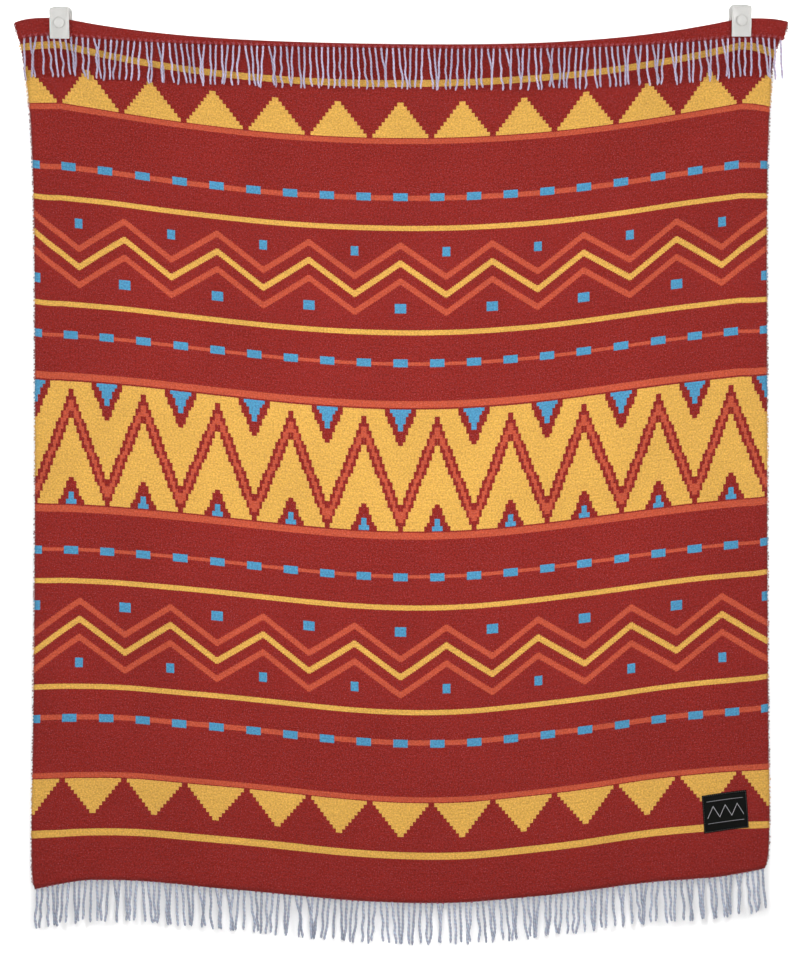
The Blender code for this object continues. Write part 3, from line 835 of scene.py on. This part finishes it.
def makeStitches():
    inset = label["stitchInset"]
    width, height = label["width"] / 2 - inset, label["height"] / 2 - inset
    corners = [(-width, -height), (width, -height), (width, height), (-width, height), (-width, -height)]
    part = np.linspace(0, 1, 6)
    lift = label["thick"] / 2 + label["stitchRise"] * np.sin(math.pi * part) - label["stitchSunk"]
    lines = []
    for (x0, y0), (x1, y1) in zip(corners, corners[1:]):
        count = int(math.hypot(x1 - x0, y1 - y0) / label["stitchPitch"])
        for i in range(count):
            t = (i + 0.15 + label["stitchShare"] * part) / count
            lines.append(onLabel(x0 + (x1 - x0) * t, y0 + (y1 - y0) * t, lift))
    points = np.array(lines)
    radius = np.full(points.shape[:2], label["threadRadius"])
    obj = tubes("labelStitches", points, radius, 6, np.zeros(len(points)))
    material, shader, s = startMaterial("sewingThread", 0.5, 0.1)
    uv, around, along = s.uv()
    turns = s.add(around, s.mul(along, 1 / label["threadTwist"]))
    twist = s.do("SINE", s.mul(turns, 2 * math.pi))
    s.link(s.mix(s.ranged(twist, -1.0, 1.0, 0.0, 0.4), linear("threadDark"), linear("threadPale")),
           shader.inputs["Base Color"])
    s.bump(shader, twist, 0.4, 0.0001)
    obj.data.materials.append(material)
    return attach(obj, "root")


sewnLabel = makeLabel()
stitches = makeStitches()

print("clips")
clip = {
    "x": cloth["clipX"],
    "z": 0.0018,            # the right clip is this much above the origin, and the left one below it
    "base": (0.038, 0.0078, 0.058),
    "baseCorners": (0.009, 0.009, 0.009, 0.009),
    "leaf": (0.0335, 0.0026, 0.0525),
    "leafCorners": (0.0042, 0.0042, 0.0016, 0.0016),
    "leafZ": -0.0028,       # from the middle of the base to the middle of the leaf
    "edge": 0.0007,
    "rim": 0.0017,          # the leaf's face is a little lower inside its rim
    "rimSlope": 0.0007,
    "rimDepth": 0.0006,
    "leafBottomY": -0.0163,
    "leafTopY": -0.0212,
    "barrelRadius": 0.0060,
    "barrelLength": 0.026,
    "barrelZ": 0.017,
    "knuckles": 5,
    "groove": 0.0007,       # between two knuckles of the barrel
    "buttonRadius": 0.0091,
    "buttonHeight": 0.0033,
    "buttonCrown": 0.0030,  # how wide the rounded rim of its face is
    "buttonRound": 0.0020,  # and how high
    "buttonDome": 0.0005,
    "buttonZ": 0.0007,
    "gap": 0.0003,
}
plastic = plasticMaterial()


def finishPiece(obj, matrix, node):
    obj.matrix_world = matrix
    obj.data.materials.append(plastic)
    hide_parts(node)
    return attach(obj, "root")


def plateOutline(size, corners, inset):
    # A rounded rectangle, its corners listed from top right to bottom right.
    outline = []
    for quarter, corner in enumerate(corners):
        middleX = (1 if quarter in (0, 3) else -1) * (size[0] / 2 - max(corner, inset))
        middleZ = (1 if quarter in (0, 1) else -1) * (size[2] / 2 - max(corner, inset))
        radius = max(corner - inset, 0.0)
        for step in range(9):
            angle = math.pi / 2 * (quarter + step / 8)
            outline.append((middleX + radius * math.cos(angle), middleZ + radius * math.sin(angle)))
    return outline


def softPlate(name, size, corners, rimmed=False):
    # An upright plate with rounded edges, as rings from its back to its front.
    edge, half = clip["edge"], size[1] / 2
    quarter = [math.pi / 2 * i / 4 for i in range(5)]
    rings = [(edge * (1 - math.sin(a)), half - edge * (1 - math.cos(a))) for a in quarter]
    rings += [(edge * (1 - math.cos(a)), edge * (1 - math.sin(a)) - half) for a in quarter]
    if rimmed:
        foot = edge + clip["rim"]
        rings += [(foot, -half), (foot + clip["rimSlope"] / 2, clip["rimDepth"] * 0.6 - half),
                  (foot + clip["rimSlope"], clip["rimDepth"] - half)]
    mesh = bpy.data.meshes.new(name)
    shape = bmesh.new()
    loops = [[shape.verts.new((x, y, z)) for x, z in plateOutline(size, corners, inset)]
             for inset, y in rings]
    for first, second in zip(loops, loops[1:]):
        for a, b, c, d in zip(first, first[1:] + first[:1], second[1:] + second[:1], second):
            shape.faces.new((a, b, c, d))
    shape.faces.new(loops[0])
    shape.faces.new(loops[-1])
    bmesh.ops.remove_doubles(shape, verts=shape.verts, dist=1e-6)
    bmesh.ops.recalc_face_normals(shape, faces=shape.faces)
    shape.to_mesh(mesh)
    shape.free()
    mesh.shade_smooth()
    mesh.set_sharp_from_angle(angle=math.radians(40))
    obj = bpy.data.objects.new(name, mesh)
    bpy.context.scene.collection.objects.link(obj)
    return obj


def turned(name, profile, steps=56):
    # A turned piece about its own Z axis from (radius, height) pairs.
    mesh = bpy.data.meshes.new(name)
    shape = bmesh.new()
    verts = [shape.verts.new((r, 0, h)) for r, h in profile]
    edges = [shape.edges.new(pair) for pair in zip(verts, verts[1:])]
    bmesh.ops.spin(shape, geom=verts + edges, axis=(0, 0, 1), cent=(0, 0, 0), steps=steps,
                   angle=2 * math.pi, use_merge=True)
    bmesh.ops.remove_doubles(shape, verts=shape.verts, dist=1e-7)
    bmesh.ops.recalc_face_normals(shape, faces=shape.faces)
    shape.to_mesh(mesh)
    shape.free()
    mesh.shade_smooth()
    mesh.set_sharp_from_angle(angle=math.radians(50))
    obj = bpy.data.objects.new(name, mesh)
    bpy.context.scene.collection.objects.link(obj)
    return obj


def barrelProfile():
    length, radius = clip["barrelLength"], clip["barrelRadius"]
    profile = [(0, -length / 2)]
    for i in range(clip["knuckles"]):
        low = -length / 2 + length * i / clip["knuckles"]
        high = low + length / clip["knuckles"]
        profile += [(radius - clip["groove"], low + 0.0001), (radius, low + 0.0006),
                    (radius, high - 0.0006), (radius - clip["groove"], high - 0.0001)]
    return profile + [(0, length / 2)]


def buttonProfile():
    radius, crown, dome = clip["buttonRadius"], clip["buttonCrown"], clip["buttonDome"]
    shoulder = clip["buttonHeight"] - dome
    profile = [(0, 0), (radius - 0.0002, 0), (radius, 0.0003)]
    for i in range(13):
        angle = math.pi / 2 * i / 12
        profile.append((radius - crown * (1 - math.cos(angle)),
                        shoulder - clip["buttonRound"] * (1 - math.sin(angle))))
    for i in range(1, 9):
        out = 1 - i / 8
        profile.append(((radius - crown) * out, clip["buttonHeight"] - dome * out**2))
    return profile


def makeClip(side, x, z):
    node = f"clip_{side.lower()}"
    base = softPlate(f"clip{side}Base", clip["base"], clip["baseCorners"])
    finishPiece(base, Matrix.Translation((x, -clip["base"][1] / 2, z)), node + "_base")

    barrel = turned(f"clip{side}Barrel", barrelProfile())
    place = Vector((x, -clip["base"][1] - clip["gap"] - clip["barrelRadius"], z + clip["barrelZ"]))
    finishPiece(barrel, Matrix.Translation(place) @ Matrix.Rotation(math.pi / 2, 4, "Y"), node + "_barrel")

    leafMiddle = Vector((x, (clip["leafBottomY"] + clip["leafTopY"]) / 2, z + clip["leafZ"]))
    tilt = math.atan2(clip["leafBottomY"] - clip["leafTopY"], clip["leaf"][2])
    leafFrame = Matrix.Translation(leafMiddle) @ Matrix.Rotation(tilt, 4, "X")
    leaf = softPlate(f"clip{side}Leaf", clip["leaf"], clip["leafCorners"], rimmed=True)
    finishPiece(leaf, leafFrame @ Matrix.Translation((0, -clip["leaf"][1] / 2, 0)), node + "_leaf")

    button = turned(f"clip{side}Button", buttonProfile())
    place = Matrix.Translation((0, -clip["leaf"][1] - clip["gap"], clip["buttonZ"]))
    finishPiece(button, leafFrame @ place @ Matrix.Rotation(math.pi / 2, 4, "X"), node + "_button")


makeClip("Left", -clip["x"], -clip["z"])
makeClip("Right", clip["x"], clip["z"])

print("backdrop, floor, light and camera")
studio = {
    "distance": 2.8,
    "scale": 0.001728,      # metres for each pixel at the cloth
    "scaleY": -0.010,
    "centrePixel": (400.0, 485.0),
    "originPixel": (400.5, 22.0),
    "imageHeight": 970,
    "sensor": 36.0,
    "floorZ": -1.80,
    "half": 4.0,
    "world": 0.06,
}
# Two side boxes, a broad soft one near the camera, and a far one high above the cloth.
lights = (
    {"name": "leftLight", "place": (-2.6, -2.1, 0.5), "aim": (0, 0, -0.9), "size": 0.45, "power": 52},
    {"name": "rightLight", "place": (2.6, -2.1, 0.5), "aim": (0, 0, -0.9), "size": 0.45, "power": 52},
    {"name": "frontLight", "place": (0, -1.4, -0.66), "aim": (0, 0, -0.66), "size": 1.0, "power": 19},
    {"name": "highLight", "place": (0, -1.2, 6.0), "aim": (0, 0, -0.8), "size": 1.2, "power": 84},
)
# The backdrop glows a little, painted light that keeps it white; close behind the cloth it is darker
# and glows less, a painted shade. It turns pale from the first of each pair of places to the second:
# outwards, downwards and upwards.
backdrop = {"y": 0.0006, "pale": 0.84, "paintedShade": 0.62, "floor": 0.50, "glow": (0.25, 0.62),
            "side": (0.636, 0.668), "low": (-1.535, -1.655), "high": (-0.060, -0.010)}


def stageMaterial(name, pale, paintedShade, glow=(0.0, 0.0)):
    shade, shader, s = startMaterial(name, 0.9, gloss=0.0)
    faces = s.tree.nodes.new("ShaderNodeNewGeometry")
    place = s.tree.nodes.new("ShaderNodeSeparateXYZ")
    s.link(faces.outputs["Position"], place.inputs[0])
    # Painted shade: close behind the cloth the backdrop is darker and glows less, pale further out.
    outward = s.ranged(s.do("ABSOLUTE", place.outputs["X"]), *backdrop["side"], 0.0, 1.0)
    downward = s.ranged(place.outputs["Z"], *backdrop["low"], 0.0, 1.0)
    upward = s.ranged(place.outputs["Z"], *backdrop["high"], 0.0, 1.0)
    share = s.do("MAXIMUM", outward, s.do("MAXIMUM", downward, upward))
    s.link(s.mix(share, (paintedShade, paintedShade, paintedShade, 1.0), (pale, pale, pale, 1.0)), shader.inputs["Base Color"])
    shader.inputs["Emission Color"].default_value = (1, 1, 1, 1)
    s.link(s.ranged(share, 0.0, 1.0, *glow), shader.inputs["Emission Strength"])
    clear = s.tree.nodes.new("ShaderNodeBsdfTransparent")
    chosen = s.tree.nodes.new("ShaderNodeMixShader")
    s.link(faces.outputs["Backfacing"], chosen.inputs[0])
    s.tree.links.new(shader.outputs[0], chosen.inputs[1])
    s.tree.links.new(clear.outputs[0], chosen.inputs[2])
    s.tree.links.new(chosen.outputs[0], s.tree.nodes["Material Output"].inputs[0])
    return shade


def makeStage():
    half, floorZ = studio["half"], studio["floorZ"]
    sides = ((-half, False), (half, False), (half, True), (-half, True))
    upright = [(x, backdrop["y"], half if far else floorZ) for x, far in sides]
    flat = [(x, half if far else -2 * half, floorZ) for x, far in sides]
    pale = stageMaterial("paleBackdrop", backdrop["pale"], backdrop["paintedShade"], backdrop["glow"])
    soft = stageMaterial("paleFloor", backdrop["floor"], backdrop["floor"])
    for name, corners, shade in (("backdrop", upright, pale), ("floor", flat, soft)):
        mesh = bpy.data.meshes.new(name)
        mesh.from_pydata(corners, [], [(0, 1, 2, 3)])
        mesh.materials.append(shade)
        obj = bpy.data.objects.new(name, mesh)
        bpy.context.scene.collection.objects.link(obj)


def makeLight(values):
    data = bpy.data.lights.new(values["name"], "AREA")
    data.size = values["size"]
    data.energy = values["power"]
    obj = bpy.data.objects.new(values["name"], data)
    obj.location = values["place"]
    obj.rotation_euler = (Vector(values["aim"]) - obj.location).to_track_quat("-Z", "Y").to_euler()
    obj.visible_camera = False
    bpy.context.scene.collection.objects.link(obj)


def makeCamera():
    data = bpy.data.cameras.new("camera")
    data.sensor_width = studio["sensor"]
    pixels = (studio["distance"] + studio["scaleY"]) / studio["scale"]
    data.lens = pixels * studio["sensor"] / studio["imageHeight"]
    data.clip_start, data.clip_end = 0.05, 50
    camera = bpy.data.objects.new("camera", data)
    right = studio["centrePixel"][0] - studio["originPixel"][0]
    down = studio["centrePixel"][1] - studio["originPixel"][1]
    camera.location = (right * studio["scale"], -studio["distance"], -down * studio["scale"])
    camera.rotation_euler = (math.pi / 2, 0, 0)
    bpy.context.scene.collection.objects.link(camera)
    bpy.context.scene.camera = camera


makeStage()
for values in lights:
    makeLight(values)
makeCamera()
world = bpy.data.worlds.new("softLight")
world.use_nodes = True
world.node_tree.nodes["Background"].inputs[0].default_value = (1, 1, 1, 1)
world.node_tree.nodes["Background"].inputs[1].default_value = studio["world"]
bpy.context.scene.world = world
bpy.context.scene.view_settings.view_transform = "Standard"
